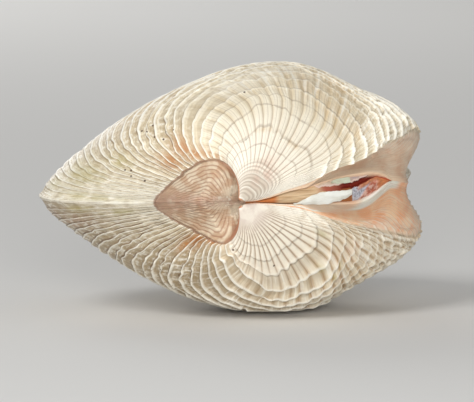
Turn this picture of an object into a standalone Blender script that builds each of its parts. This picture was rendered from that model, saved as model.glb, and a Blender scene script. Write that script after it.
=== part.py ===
"""A California venus clam shell: two closed valves with the dried, torn ligament between them.

The shell lies on its left valve, hinge towards -Y, front end towards -X, hind end towards +X.
Each valve is one growth surface: the margin, shrunk towards the beak and turned about the hinge axis
as the growth stage falls from 1 (the margin today) to 0 (the beak, the shell's first stage).
"""

import math

import bmesh
import bpy
import numpy as np

MM = 0.001

# The margin seen from the side, in mm from the hinge point: X to the hind end, Y down the shell.
FRONT_TOP = (-16.1, 12.4)
FRONT_END = (-27.3, 50.7)
LOWER_FRONT = (-17.7, 54.5)
LOWER_MIDDLE = (12.2, 46.1)
LOWER_REAR = (21.1, 32.5)
REAR_END = (28.0, 11.4)
REAR_TOP = (27.8, 10.4)

# Coiling of the valve from the margin to the beak.
COIL_AXIS_DEG = 26.3
COIL_TURN = 2.093
COIL_POWER = 1.87
FATNESS = 1.216
BEAK_FORWARD = 9.8
BEAK_INWARD = 1.4
BEAK_POWER = 5.28
BEAK_STAGE = 0.045

# How far the hind end lies deeper than the front end, for each mm along the hinge.
SLANT = 0.5

# The dent that the flattened hinge side makes in the hind end.
REAR_DENT = 11.4
REAR_DENT_CENTRE = (29.0, 10.9)
REAR_DENT_HEIGHT = 5.9
REAR_DENT_RADIUS = 14.9

# The front end's margin is worn blunt.
FRONT_WEAR = 1.0
FRONT_WEAR_CENTRE = (-30.6, 44.6)
FRONT_WEAR_HEIGHT = 1.6
FRONT_WEAR_RADIUS = 9.0

# The valves meet in a slightly warped plane, with a small gap all along.
HALF_GAP = 0.16
WARP_SLOPE = 0.017
WARP_START = -9.5
WARP_HEIGHT = 8.5
HUMP = 1.2
HUMP_AT = 10.8
HUMP_LENGTH = 3.0

# The slit behind the beaks, where the ligament has dried and torn.
SLIT_START = -7.7
SLIT_END = 11.5
SLIT_HEIGHT = {"right": 2.5, "left": 1.5}
SLIT_SKEW = {"right": 1.5, "left": 1.0}
SLIT_REACH = 3.5
SLIT_DEPTH = 3.0
HINGE_LINE_SLOPE = 0.62
HINGE_LINE_BEND = 0.014

# Borders of the two smooth areas, as fractions of the way round the margin from the hinge point.
LUNULE_AT_MARGIN = 0.141
LUNULE_BULGE = 0.165
LUNULE_AT_BEAK = 0.29
ESCUTCHEON_AT_BEAK = {"right": 0.985, "left": 0.955}
ESCUTCHEON_SLOPE = {"right": 0.235, "left": 0.18}
ESCUTCHEON_LEAST = 0.80

# Sculpture: concentric ridges, radial ribs and the groove round the lunule.
EARLY_RIDGES = (0.11, 0.14, 0.19, 0.24, 0.30)
LATE_RIDGES = 10
LATE_FIRST = 0.36
LATE_LAST = 0.96
RIDGE_HEIGHT = 0.5
RIB_HEIGHT = 0.3
RIBS_GONE_AT = 1.25
FULL_SIZE_FROM = 0.25
BORDER_GROOVE = 0.35
LAST_FURROW = 0.075
LUNULE_COLUMNS = 5
RIB_COLUMNS = 48
ESCUTCHEON_COLUMNS = 7
INNER_COLUMNS = 30
WELD = 0.02
SHARP_EDGE_DEG = 50

# The hollow: the same growth surface from a smaller margin that starts inside the hinge plate.
HINGE_PLATE_POINT = (0.0, 4.0)
HOLLOW_CENTRE = (-6.0, 25.0)
HOLLOW_SCALE = 0.92
HINGE_PLATE_WIDTH = 0.07
HOLLOW_STAGES = (1.0, 0.92, 0.82, 0.72, 0.62, 0.52, 0.42)

# How the shell lies on its left valve: turned, leaning, and cut 0.4 mm flat where it rests.
TURN_DEG = 12.35
LEAN_DEG = 1.1
HINGE_POINT = (11.07, -21.81, 17.54)
REST_FADE = 1.2

# The ligament, from the beaks towards the hind end, and the two flakes torn off it.
LIGAMENT_START = -5.2
LIGAMENT_END = 3.6
LIGAMENT_TOP = 0.9
LIGAMENT_DEEP = 2.7
LIGAMENT_STATIONS = 12
LIGAMENT_CLEARANCE = 0.42
LIGAMENT_THINNEST = 0.1
LIGAMENT_ROUNDING = 0.75
SLIT_FILL = 0.8
FLAKE_THICKNESS = 0.35
FLAKE_RAGGED = 0.18
FLAKE_BLUNT = 0.6
LEFT_FLAKE = {"start": -1.6, "end": 6.0, "low": -1.25, "high": -0.1, "deep": 0.1, "stations": 12}
RIGHT_FLAKE = {"start": 2.2, "end": 6.6, "low": 0.9, "high": 1.75, "deep": 0.35, "stations": 9}

VALVE_COLOUR = (0.80, 0.72, 0.58)
LIGAMENT_COLOUR = (0.42, 0.24, 0.12)
FLAKE_COLOUR = (0.78, 0.76, 0.68)


def spline_through(points, count):
    """A natural cubic spline through the points, and its count even samples by chord length."""
    points = np.array(points, float)
    chords = np.hypot(*np.diff(points, axis=0).T)
    knots = np.concatenate([[0.0], np.cumsum(chords)])
    last = len(points) - 1
    matrix = np.zeros((last + 1, last + 1))
    right = np.zeros((last + 1, 2))
    matrix[0, 0] = matrix[last, last] = 1.0
    for i in range(1, last):
        before = chords[i - 1]
        after = chords[i]
        matrix[i, i - 1 : i + 2] = before, 2 * (before + after), after
        right[i] = 6 * ((points[i + 1] - points[i]) / after - (points[i] - points[i - 1]) / before)
    bend = np.linalg.solve(matrix, right)
    where = np.linspace(0, knots[-1], count)
    i = np.clip(np.searchsorted(knots, where, side="right") - 1, 0, last - 1)
    h = chords[i][:, None]
    a = (knots[i + 1] - where)[:, None] / h
    b = 1 - a
    curve = a * points[i] + b * points[i + 1]
    curve += ((a**3 - a) * bend[i] + (b**3 - b) * bend[i + 1]) * h * h / 6
    return where / knots[-1], curve


HINGE_END = (0.0, 0.0)
MARGIN_POINTS = (
    HINGE_END, FRONT_TOP, FRONT_END, LOWER_FRONT, LOWER_MIDDLE,
    LOWER_REAR, REAR_END, REAR_TOP, HINGE_END,
)
MARGIN_AT, MARGIN = spline_through(MARGIN_POINTS, 721)


def margin_point(fraction):
    """Points of the margin at these fractions of the way round, with Z at 0."""
    x = np.interp(fraction, MARGIN_AT, MARGIN[:, 0])
    y = np.interp(fraction, MARGIN_AT, MARGIN[:, 1])
    return np.stack([x, y, np.zeros_like(x)], axis=-1)


def coil_axis():
    """The direction of the axis that the valve coils round."""
    angle = math.radians(COIL_AXIS_DEG)
    return np.array([math.cos(angle), -math.sin(angle), 0.0])


def coiled(outline, stage):
    """The outline, shrunk to this growth stage and turned about the coil axis."""
    axis = coil_axis()
    along = (outline @ axis)[..., None] * axis
    across = outline - along
    up = np.cross(axis, across)
    turn = COIL_TURN * (1 - stage ** (1 / COIL_POWER))
    ring = stage * (along + math.cos(turn) * across + math.sin(turn) * up)
    ring[..., 2] *= FATNESS
    return ring


def near_to(points, centre, height, radius):
    """1 at this place on the margin, falling off with height and with distance."""
    far = np.hypot(points[..., 0] - centre[0], points[..., 1] - centre[1])
    return np.exp(-((points[..., 2] / height) ** 2) - (far / radius) ** 2)


def dented(points):
    """The points, with the hind end's dent pressed in and the front end worn."""
    result = points.copy()
    rear = near_to(points, REAR_DENT_CENTRE, REAR_DENT_HEIGHT, REAR_DENT_RADIUS)
    front = near_to(points, FRONT_WEAR_CENTRE, FRONT_WEAR_HEIGHT, FRONT_WEAR_RADIUS)
    result[..., 0] += FRONT_WEAR * front - REAR_DENT * rear
    return result


def slanted(points):
    """The points, moved down the shell by the slant of the hinge line."""
    turn = math.radians(TURN_DEG)
    along = points[..., 0] * math.cos(turn) - points[..., 1] * math.sin(turn)
    result = points.copy()
    result[..., 0] += SLANT * along * math.sin(turn)
    result[..., 1] += SLANT * along * math.cos(turn)
    return result


def growth_ring(fraction, stage):
    """One ring of the outer surface, for a right valve whose margin lies at Z 0."""
    ring = dented(coiled(margin_point(fraction), stage))
    early = (1 - stage) ** BEAK_POWER
    ring[..., 0] -= BEAK_FORWARD * early
    ring[..., 1] += BEAK_INWARD * early
    return slanted(ring)


def hinge_line(along):
    """How far down the shell the hinge line lies at this place along it."""
    return HINGE_LINE_SLOPE * along + HINGE_LINE_BEND * np.maximum(along, 0) ** 2


def along_hinge(points):
    """How far the points lie towards the hind end, and how deep below the hinge line."""
    turn = math.radians(TURN_DEG)
    along = points[..., 0] * math.cos(turn) - points[..., 1] * math.sin(turn)
    inwards = points[..., 0] * math.sin(turn) + points[..., 1] * math.cos(turn)
    return along, inwards - hinge_line(along)


def slit_opening(along, depth, side):
    """How far the slit lifts this side's lip away from the other valve."""
    way = np.clip((along - SLIT_START) / (SLIT_END - SLIT_START), 0, 1)
    lens = np.sin(math.pi * way ** SLIT_SKEW[side])
    return SLIT_HEIGHT[side] * lens * np.exp(-((np.maximum(depth, 0) / SLIT_DEPTH) ** 2))


def warp(points):
    """The slight warp of the plane in which the valves meet, with the hump at the slit's end."""
    along, depth = along_hinge(points)
    near = np.exp(-((points[..., 2] / WARP_HEIGHT) ** 2))
    hump = HUMP * np.exp(-(((along - HUMP_AT) / HUMP_LENGTH) ** 2))
    hump *= np.exp(-((np.maximum(depth, 0) / WARP_HEIGHT) ** 2))
    result = points.copy()
    result[..., 2] += (WARP_SLOPE * (along - WARP_START) + hump) * near
    return result


def seated(points, side):
    """The points of a right valve's surface, given the gap, the slit, the side and the warp."""
    result = points.copy()
    result[..., 2] = np.maximum(result[..., 2], 0) + HALF_GAP
    along, depth = along_hinge(result)
    near = np.exp(-((result[..., 2] / SLIT_REACH) ** 2))
    result[..., 2] += slit_opening(along, depth, side) * near
    if side == "left":
        result[..., 2] *= -1
    return warp(result)


def to_world():
    """The rotation from the growth frame to the way the shell lies."""
    turn = math.radians(TURN_DEG)
    lean = math.radians(LEAN_DEG)
    about_z = np.array([
        [math.cos(turn), -math.sin(turn), 0],
        [math.sin(turn), math.cos(turn), 0],
        [0, 0, 1],
    ])
    about_y = np.array([
        [math.cos(lean), 0, -math.sin(lean)],
        [0, 1, 0],
        [math.sin(lean), 0, math.cos(lean)],
    ])
    return about_y @ about_z


def placed(points):
    """Growth-frame points in mm as world points in mm, cut flat where the shell rests."""
    world = points @ to_world().T + np.array(HINGE_POINT)
    world[..., 2] = np.maximum(world[..., 2], 0)
    return world


def ridge_stages():
    """Growth stages of the ridges, from the margin to the beak."""
    late = np.linspace(LATE_LAST, LATE_FIRST, LATE_RIDGES)
    return list(late) + sorted(EARLY_RIDGES, reverse=True)


def row_stages():
    """Growth stages of the rows: the margin, each ridge with the furrow before it, and the beak."""
    crests = ridge_stages()
    rows = [(1.0, 0.5)]
    for before, crest in zip([1.0] + crests, crests):
        rows.append(((before + crest) / 2, 0.0))
        rows.append((crest, 1.0))
    rows.append((LAST_FURROW, 0.0))
    rows.append((BEAK_STAGE, 0.0))
    return rows


def lunule_border(stage):
    """Where the lunule ends at this growth stage."""
    return LUNULE_AT_MARGIN + LUNULE_BULGE * stage * (1 - stage) + LUNULE_AT_BEAK * (1 - stage) ** 4


def escutcheon_border(stage, side):
    """Where the escutcheon begins at this growth stage."""
    return max(ESCUTCHEON_AT_BEAK[side] - ESCUTCHEON_SLOPE[side] * stage, ESCUTCHEON_LEAST)


def column_fractions(stage, side):
    """Places round the margin of one row's columns; the first is the hinge point."""
    first = lunule_border(stage)
    last = escutcheon_border(stage, side)
    lunule = np.linspace(0, first, LUNULE_COLUMNS, endpoint=False)
    ribbed = np.linspace(first, last, RIB_COLUMNS, endpoint=False)
    escutcheon = np.linspace(last, 1, ESCUTCHEON_COLUMNS, endpoint=False)
    return np.concatenate([lunule, ribbed, escutcheon])


def relief(stage, crest):
    """Height of the sculpture on one row: its ridge and ribs, with the groove round the lunule."""
    height = np.zeros(LUNULE_COLUMNS + RIB_COLUMNS + ESCUTCHEON_COLUMNS)
    first = LUNULE_COLUMNS
    last = LUNULE_COLUMNS + RIB_COLUMNS
    size = min(1.0, stage / FULL_SIZE_FROM)
    rib = RIB_HEIGHT * size * (RIBS_GONE_AT - stage)
    height[first:last] = RIDGE_HEIGHT * (crest - 0.5) * size - rib / 2
    height[first + 1 : last : 2] += rib
    height[first] = -BORDER_GROOVE * size
    return height


def outer_rings(side):
    """The outer surface's rows in the growth frame, with their sculpture."""
    rows = row_stages()
    smooth = np.array([growth_ring(column_fractions(stage, side), stage) for stage, _ in rows])
    height = np.array([relief(stage, crest) for stage, crest in rows])
    round_it = np.roll(smooth, -1, axis=1) - np.roll(smooth, 1, axis=1)
    out_of_it = np.gradient(smooth, axis=0)
    normal = np.cross(round_it, out_of_it)
    normal /= np.maximum(np.linalg.norm(normal, axis=-1, keepdims=True), 1e-9)
    clearance = placed(seated(smooth, side))[..., 2]
    height *= np.clip(clearance / REST_FADE, 0, 1)
    rings = smooth + normal * height[..., None]
    rings[:, 0] = smooth[:, 0]
    return rings


def inner_rings():
    """The hollow's rows: the growth surface of a smaller margin, from the hinge plate point."""
    start = np.array([*HINGE_PLATE_POINT, 0.0])
    centre = np.array([*HOLLOW_CENTRE, 0.0])
    fraction = np.linspace(0, 1, INNER_COLUMNS, endpoint=False)
    edge = centre + HOLLOW_SCALE * (dented(margin_point(fraction)) - centre)
    pull = np.exp(-((np.minimum(fraction, 1 - fraction) / HINGE_PLATE_WIDTH) ** 2))[:, None]
    edge = edge + pull * (start - edge[0])
    rings = np.array([start + coiled(edge - start, stage) for stage in HOLLOW_STAGES])
    return slanted(start), slanted(rings)


def add_strip(faces, lower, upper):
    """Quads between two closed rows of the same length."""
    count = len(lower)
    for i in range(count):
        j = (i + 1) % count
        faces.append((lower[i], lower[j], upper[j], upper[i]))


def add_rim(faces, outer, inner):
    """Triangles of the flat margin, between the outer row and the inner row of half its length."""
    step = len(outer) // len(inner)
    for i in range(len(inner)):
        j = (i + 1) % len(inner)
        middle = step * i + step // 2
        for k in range(step):
            a = outer[step * i + k]
            b = outer[(step * i + k + 1) % len(outer)]
            near = inner[i] if step * i + k < middle else inner[j]
            faces.append((b, a, near))
        faces.append((inner[i], inner[j], outer[middle]))


def valve_mesh(side):
    """Points and faces of one valve: outer surface, flat margin and hollow."""
    outer = outer_rings(side)
    start, inner = inner_rings()
    points = []
    faces = []
    outer_rows = []
    for ring in outer:
        outer_rows.append(range(len(points), len(points) + len(ring)))
        points.extend(ring)
    for lower, upper in zip(outer_rows, outer_rows[1:]):
        add_strip(faces, lower, upper)
    tip = len(points)
    points.append(outer[-1].mean(axis=0))
    last = outer_rows[-1]
    for i in range(len(last)):
        faces.append((last[i], last[(i + 1) % len(last)], tip))
    hinge = len(points)
    points.append(start)
    inner_rows = []
    for ring in inner:
        row = [hinge] + list(range(len(points), len(points) + len(ring) - 1))
        inner_rows.append(row)
        points.extend(ring[1:])
    for lower, upper in zip(inner_rows, inner_rows[1:]):
        add_strip(faces, upper, lower)
    faces.append(tuple(inner_rows[-1]))
    add_rim(faces, outer_rows[0], inner_rows[0])
    return placed(seated(np.array(points), side)), faces


def material(name, colour, roughness):
    """A Principled material of one colour."""
    result = bpy.data.materials.new(name)
    result.use_nodes = True
    shader = result.node_tree.nodes["Principled BSDF"]
    shader.inputs["Base Color"].default_value = (*colour, 1.0)
    shader.inputs["Roughness"].default_value = roughness
    result.diffuse_color = (*colour, 1.0)
    return result


def solid(name, points, faces, finish, collection):
    """A closed mesh object from points in mm."""
    mesh = bpy.data.meshes.new(name)
    work = bmesh.new()
    corners = [work.verts.new(point * MM) for point in points]
    for face in faces:
        distinct = list(dict.fromkeys(face))
        if len(distinct) > 2:
            work.faces.new([corners[i] for i in distinct])
    bmesh.ops.remove_doubles(work, verts=work.verts[:], dist=WELD * MM)
    bmesh.ops.triangulate(work, faces=work.faces[:], ngon_method="BEAUTY")
    bmesh.ops.recalc_face_normals(work, faces=work.faces[:])
    if work.calc_volume(signed=True) < 0:
        bmesh.ops.reverse_faces(work, faces=work.faces[:])
    work.to_mesh(mesh)
    work.free()
    mesh.shade_smooth()
    mesh.set_sharp_from_angle(angle=math.radians(SHARP_EDGE_DEG))
    mesh.materials.append(finish)
    result = bpy.data.objects.new(name, mesh)
    collection.objects.link(result)
    return result


def loft(sections):
    """Points and faces of a closed loft through equal sections, with flat ends."""
    points = [corner for section in sections for corner in section]
    count = len(sections[0])
    faces = []
    for i in range(len(sections) - 1):
        add_strip(faces, range(i * count, (i + 1) * count), range((i + 1) * count, (i + 2) * count))
    faces.append(tuple(range(count)))
    faces.append(tuple(reversed(range(len(points) - count, len(points)))))
    return np.array(points), faces


def hinge_frame_point(along, depth, height):
    """A growth-frame point from its place along the hinge, its depth and its height off the plane."""
    turn = math.radians(TURN_DEG)
    inwards = depth + hinge_line(along)
    x = along * math.cos(turn) + inwards * math.sin(turn)
    y = -along * math.sin(turn) + inwards * math.cos(turn)
    return np.array([x, y, height])


def lip_height(along, depth, side):
    """How far this side's wall of the slit lies from the plane at a depth below the lip."""
    return HALF_GAP + SLIT_FILL * float(slit_opening(np.array(along), np.array(depth), side))


def ligament_sections():
    """Six-sided sections of the ligament, a wedge that fills the slit with clearance."""
    sections = []
    for along in np.linspace(LIGAMENT_START, LIGAMENT_END, LIGAMENT_STATIONS):
        corners = []
        for depth in (LIGAMENT_TOP, (LIGAMENT_TOP + LIGAMENT_DEEP) / 2, LIGAMENT_DEEP):
            high = max(lip_height(along, depth, "right") - LIGAMENT_CLEARANCE, LIGAMENT_THINNEST)
            low = -max(lip_height(along, depth, "left") - LIGAMENT_CLEARANCE, LIGAMENT_THINNEST)
            if depth == LIGAMENT_TOP:
                high *= LIGAMENT_ROUNDING
                low *= LIGAMENT_ROUNDING
            corners.append((depth, high, low))
        loop = [(depth, high) for depth, high, _ in corners]
        loop += [(depth, low) for depth, _, low in reversed(corners)]
        sections.append([hinge_frame_point(along, depth, height) for depth, height in loop])
    return sections


def flake_sections(flake):
    """Thin four-sided sections of a flake: a strip with a ragged width along one lip of the slit."""
    sections = []
    count = flake["stations"]
    for i, along in enumerate(np.linspace(flake["start"], flake["end"], count)):
        swell = math.sin(math.pi * (i + 0.6) / (count + 0.2)) ** FLAKE_BLUNT
        ragged = 1 - FLAKE_RAGGED * (i % 2)
        middle = (flake["low"] + flake["high"]) / 2
        half = (flake["high"] - flake["low"]) / 2 * swell * ragged
        front = flake["deep"]
        back = front + FLAKE_THICKNESS
        loop = ((front, middle + half), (back, middle + half), (back, middle - half), (front, middle - half))
        sections.append([hinge_frame_point(along, depth, height) for depth, height in loop])
    return sections


def clear_scene():
    """An empty scene to build in."""
    for item in list(bpy.data.objects):
        bpy.data.objects.remove(item, do_unlink=True)


def build():
    """All pieces of the shell, in one collection."""
    clear_scene()
    shell = bpy.data.collections.new("venus_clam_shell")
    bpy.context.scene.collection.children.link(shell)
    valve_finish = material("valve", VALVE_COLOUR, 0.6)
    ligament_finish = material("ligament", LIGAMENT_COLOUR, 0.5)
    flake_finish = material("ligament_flake", FLAKE_COLOUR, 0.45)
    for side in ("right", "left"):
        points, faces = valve_mesh(side)
        solid(side + "_valve", points, faces, valve_finish, shell)
    points, faces = loft(ligament_sections())
    solid("ligament", placed(warp(points)), faces, ligament_finish, shell)
    for side, flake in (("left", LEFT_FLAKE), ("right", RIGHT_FLAKE)):
        points, faces = loft(flake_sections(flake))
        solid("ligament_flake_" + side, placed(warp(points)), faces, flake_finish, shell)


build()
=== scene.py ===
# %% [markdown]
# A ribbed venus clam shell, closed, seen from its hinge side.
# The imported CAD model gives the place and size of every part, so it is loaded first and nothing is moved afterwards.
# Each part then gets a detailed piece that stands for it, with its own finish.

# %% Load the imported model
import math
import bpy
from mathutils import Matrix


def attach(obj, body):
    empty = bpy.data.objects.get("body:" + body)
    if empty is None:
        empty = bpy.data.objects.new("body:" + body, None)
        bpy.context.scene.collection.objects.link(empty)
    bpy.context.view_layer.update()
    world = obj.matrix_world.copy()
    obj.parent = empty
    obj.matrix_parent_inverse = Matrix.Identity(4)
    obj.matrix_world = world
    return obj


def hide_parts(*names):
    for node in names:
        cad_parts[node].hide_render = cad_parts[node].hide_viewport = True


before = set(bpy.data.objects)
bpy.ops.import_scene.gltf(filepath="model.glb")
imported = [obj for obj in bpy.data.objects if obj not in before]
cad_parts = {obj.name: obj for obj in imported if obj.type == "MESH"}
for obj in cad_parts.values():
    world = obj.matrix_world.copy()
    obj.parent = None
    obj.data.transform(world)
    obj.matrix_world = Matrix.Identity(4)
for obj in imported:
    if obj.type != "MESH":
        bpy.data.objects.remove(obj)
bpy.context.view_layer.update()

from types import SimpleNamespace

import bpy
import numpy as np

MM = 0.001
print("nodes:", sorted(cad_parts))

# %% [markdown]
# The camera stands far away and nearly level with the shell, as for a museum plate, so the lens is very long.
# It is aimed a little to the front end's side of the beaks, which puts the whole shell in the picture.

# %% Camera
HINGE_POINT = np.array([11.07, -21.81, 17.54])
CAMERA_RISE_DEG = 5.1
CAMERA_AWAY = 886.3
LENS_MM = 481.8
AIM_ASIDE = -10.19
AIM_UP = -0.35

rise = math.radians(CAMERA_RISE_DEG)
forward = np.array([0, math.cos(rise), -math.sin(rise)])
camera_up = np.array([0, math.sin(rise), math.cos(rise)])
aim = np.array([AIM_ASIDE, 0, 0]) + AIM_UP * camera_up

camera_data = bpy.data.cameras.new("camera")
camera_data.lens = LENS_MM
camera_data.sensor_width = 36
camera_data.clip_start = 0.01
camera_data.clip_end = 20
camera = bpy.data.objects.new("camera", camera_data)
camera.location = (HINGE_POINT - CAMERA_AWAY * forward + aim) * MM
camera.rotation_euler = (math.pi / 2 - rise, 0, 0)
bpy.context.scene.collection.objects.link(camera)
bpy.context.scene.camera = camera
print("camera at", [round(c, 3) for c in camera.location])

# %% [markdown]
# A valve grows only at its margin, so every older margin is still there as a ring on its surface.
# One outline, shrunk and turned a little more for each older ring, therefore gives the whole coiled valve.
# No primitive or sculpted ball has this shape, so the rings are worked out from a few measures in mm.
# The same measures made the CAD solids, so the detailed valve lies exactly where the CAD one is.

# %% The margin's outline
MARGIN_POINTS = np.array([
    (0.0, 0.0), (-16.1, 12.4), (-27.3, 50.7), (-17.7, 54.5), (12.2, 46.1),
    (21.1, 32.5), (28.0, 11.4), (27.8, 10.4), (0.0, 0.0),
])


def spline_through(points, count):
    """A natural cubic spline through the points, and its count even samples by chord length."""
    chords = np.hypot(*np.diff(points, axis=0).T)
    knots = np.concatenate([[0.0], np.cumsum(chords)])
    last = len(points) - 1
    matrix = np.zeros((last + 1, last + 1))
    right = np.zeros((last + 1, 2))
    matrix[0, 0] = matrix[last, last] = 1.0
    for i in range(1, last):
        before = chords[i - 1]
        after = chords[i]
        matrix[i, i - 1 : i + 2] = before, 2 * (before + after), after
        right[i] = 6 * ((points[i + 1] - points[i]) / after - (points[i] - points[i - 1]) / before)
    bend = np.linalg.solve(matrix, right)
    where = np.linspace(0, knots[-1], count)
    i = np.clip(np.searchsorted(knots, where, side="right") - 1, 0, last - 1)
    h = chords[i][:, None]
    a = (knots[i + 1] - where)[:, None] / h
    b = 1 - a
    curve = a * points[i] + b * points[i + 1]
    curve += ((a**3 - a) * bend[i] + (b**3 - b) * bend[i + 1]) * h * h / 6
    return where / knots[-1], curve


MARGIN_AT, MARGIN = spline_through(MARGIN_POINTS, 721)


def margin_point(fraction):
    """Points of the margin at these fractions of the way round, with Z at 0."""
    x = np.interp(fraction, MARGIN_AT, MARGIN[:, 0])
    y = np.interp(fraction, MARGIN_AT, MARGIN[:, 1])
    return np.stack([x, y, np.zeros_like(x)], axis=-1)


print("margin measured at", len(MARGIN), "points")

# %% [markdown]
# Three more things shape the rings: they coil about an axis through the hinge, the flattened hinge side dents
# the hind end, and the beaks were pulled forward when the clam was young.

# %% Rings of growth
COIL_AXIS_DEG = 26.3
COIL_TURN = 2.093
COIL_POWER = 1.87
FATNESS = 1.216
BEAK_FORWARD = 9.8
BEAK_INWARD = 1.4
BEAK_POWER = 5.28
BEAK_APART = 0.25
BEAK_STAGE = 0.012
SLANT = 0.5
TURN_DEG = 12.35
LEAN_DEG = 1.1
REAR_DENT = 11.4
REAR_DENT_CENTRE = (29.0, 10.9)
REAR_DENT_HEIGHT = 5.9
REAR_DENT_RADIUS = 14.9
FRONT_WEAR = 1.0
FRONT_WEAR_CENTRE = (-30.6, 44.6)
FRONT_WEAR_HEIGHT = 1.6
FRONT_WEAR_RADIUS = 9.0

turn = math.radians(TURN_DEG)
lean = math.radians(LEAN_DEG)


def coiled(outline, stage):
    """The outline, shrunk to these growth stages and turned about the coil axis."""
    angle = math.radians(COIL_AXIS_DEG)
    axis = np.array([math.cos(angle), -math.sin(angle), 0.0])
    along = (outline @ axis)[..., None] * axis
    across = outline - along
    up = np.cross(axis, across)
    coil = (COIL_TURN * (1 - stage ** (1 / COIL_POWER)))[..., None]
    ring = stage[..., None] * (along + np.cos(coil) * across + np.sin(coil) * up)
    ring[..., 2] *= FATNESS
    return ring


def near_to(points, centre, height, radius):
    """1 at this place on the margin, falling off with height and with distance."""
    far = np.hypot(points[..., 0] - centre[0], points[..., 1] - centre[1])
    return np.exp(-((points[..., 2] / height) ** 2) - (far / radius) ** 2)


def dented(points):
    """The points, with the hind end's dent pressed in and the front end worn."""
    result = points.copy()
    rear = near_to(points, REAR_DENT_CENTRE, REAR_DENT_HEIGHT, REAR_DENT_RADIUS)
    front = near_to(points, FRONT_WEAR_CENTRE, FRONT_WEAR_HEIGHT, FRONT_WEAR_RADIUS)
    result[..., 0] += FRONT_WEAR * front - REAR_DENT * rear
    return result


def slanted(points):
    """The points, moved down the shell by the slant of the hinge line."""
    along = points[..., 0] * math.cos(turn) - points[..., 1] * math.sin(turn)
    result = points.copy()
    result[..., 0] += SLANT * along * math.sin(turn)
    result[..., 1] += SLANT * along * math.cos(turn)
    return result


def growth_surface(fraction, stage):
    """Points of the outer surface, for a right valve whose margin lies at Z 0."""
    ring = dented(coiled(margin_point(fraction), stage))
    early = (1 - stage) ** BEAK_POWER
    ring[..., 0] -= BEAK_FORWARD * early
    ring[..., 1] += BEAK_INWARD * early
    ring[..., 2] += BEAK_APART * early**3
    return slanted(ring)


# %% [markdown]
# The valves meet in a slightly warped plane. Behind the beaks a slit gapes where the ligament has dried and torn.
# Last, the points are turned to the way the shell lies, and the left valve is flat where it rests.

# %% Seat the valves on each other
HALF_GAP = 0.01
WARP_SLOPE = 0.017
WARP_START = -9.5
WARP_HEIGHT = 8.5
HUMP = 1.2
HUMP_AT = 10.8
HUMP_LENGTH = 3.0
# Each lip of the slit, as places along the hinge and heights off the plane.
SLIT_LIP = {
    "right": [
        (-7.7, 0.0), (-4.75, 0.62), (-2.9, 1.08), (-0.7, 1.40), (1.7, 1.96), (3.6, 2.40),
        (6.1, 2.55), (8.4, 2.10), (9.6, 1.50), (10.7, 0.75), (11.5, 0.0),
    ],
    "left": [
        (-7.7, 0.0), (-5.0, 0.42), (-2.9, 0.72), (-0.6, 0.96), (1.7, 1.18), (3.9, 1.38),
        (5.9, 1.60), (7.4, 1.76), (8.7, 1.60), (10.2, 0.95), (11.5, 0.0),
    ],
}
SLIT_REACH = 3.5
SLIT_DEPTH = 3.0
HINGE_LINE_SLOPE = 0.62
HINGE_LINE_BEND = 0.014


def along_hinge(points):
    """How far the points lie towards the hind end, and how deep below the hinge line."""
    along = points[..., 0] * math.cos(turn) - points[..., 1] * math.sin(turn)
    inwards = points[..., 0] * math.sin(turn) + points[..., 1] * math.cos(turn)
    line = HINGE_LINE_SLOPE * along + HINGE_LINE_BEND * np.maximum(along, 0) ** 2
    return along, inwards - line


lip_curves = {side: spline_through(np.array(points), 200)[1] for side, points in SLIT_LIP.items()}


def slit_opening(along, depth, side):
    """How far the slit lifts this side's lip away from the other valve."""
    lip = np.maximum(np.interp(along, *lip_curves[side].T), 0)
    return lip * np.exp(-((np.maximum(depth, 0) / SLIT_DEPTH) ** 2))


def warp(points):
    """The slight warp of the plane in which the valves meet, with the hump at the slit's end."""
    along, depth = along_hinge(points)
    near = np.exp(-((points[..., 2] / WARP_HEIGHT) ** 2))
    hump = HUMP * np.exp(-(((along - HUMP_AT) / HUMP_LENGTH) ** 2))
    hump *= np.exp(-((np.maximum(depth, 0) / WARP_HEIGHT) ** 2))
    result = points.copy()
    result[..., 2] += (WARP_SLOPE * (along - WARP_START) + hump) * near
    return result


def seated(points, side):
    """The points of a right valve's surface, given the gap, the slit, the side and the warp."""
    result = points.copy()
    result[..., 2] = np.maximum(result[..., 2], 0) + HALF_GAP
    along, depth = along_hinge(result)
    near = np.exp(-((result[..., 2] / SLIT_REACH) ** 2))
    result[..., 2] += slit_opening(along, depth, side) * near
    if side == "left":
        result[..., 2] *= -1
    return warp(result)


about_z = np.array([[math.cos(turn), -math.sin(turn), 0], [math.sin(turn), math.cos(turn), 0], [0, 0, 1]])
about_y = np.array([[math.cos(lean), 0, -math.sin(lean)], [0, 1, 0], [math.sin(lean), 0, math.cos(lean)]])
TO_WORLD = about_y @ about_z


def placed(points):
    """Growth-frame points in mm as world points in mm, cut flat where the shell rests."""
    world = points @ TO_WORLD.T + HINGE_POINT
    world[..., 2] = np.maximum(world[..., 2], 0)
    return world


# %% [markdown]
# A real shell is never quite regular, so a soft, seeded unevenness is made once and used in many places.
# It is a table of random numbers with smooth steps between them, which gives the same shell on every run.

# %% Seeded unevenness
TABLE_SIZE = 64


def uneven(seed, x, y):
    """Smooth values from -1 to 1 that change over about one unit of x and y."""
    table = np.random.default_rng(seed).uniform(-1, 1, (TABLE_SIZE, TABLE_SIZE))
    column = np.floor(x).astype(int)
    row = np.floor(y).astype(int)
    right = x - column
    up = y - row
    right = right * right * (3 - 2 * right)
    up = up * up * (3 - 2 * up)
    column, row = column % TABLE_SIZE, row % TABLE_SIZE
    next_column, next_row = (column + 1) % TABLE_SIZE, (row + 1) % TABLE_SIZE
    low = table[column, row] * (1 - right) + table[next_column, row] * right
    high = table[column, next_row] * (1 - right) + table[next_column, next_row] * right
    return low * (1 - up) + high * up


def step_up(low, high, value):
    """0 below low, 1 above high, smooth between."""
    t = np.clip((value - low) / (high - low), 0, 1)
    return t * t * (3 - 2 * t)


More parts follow.
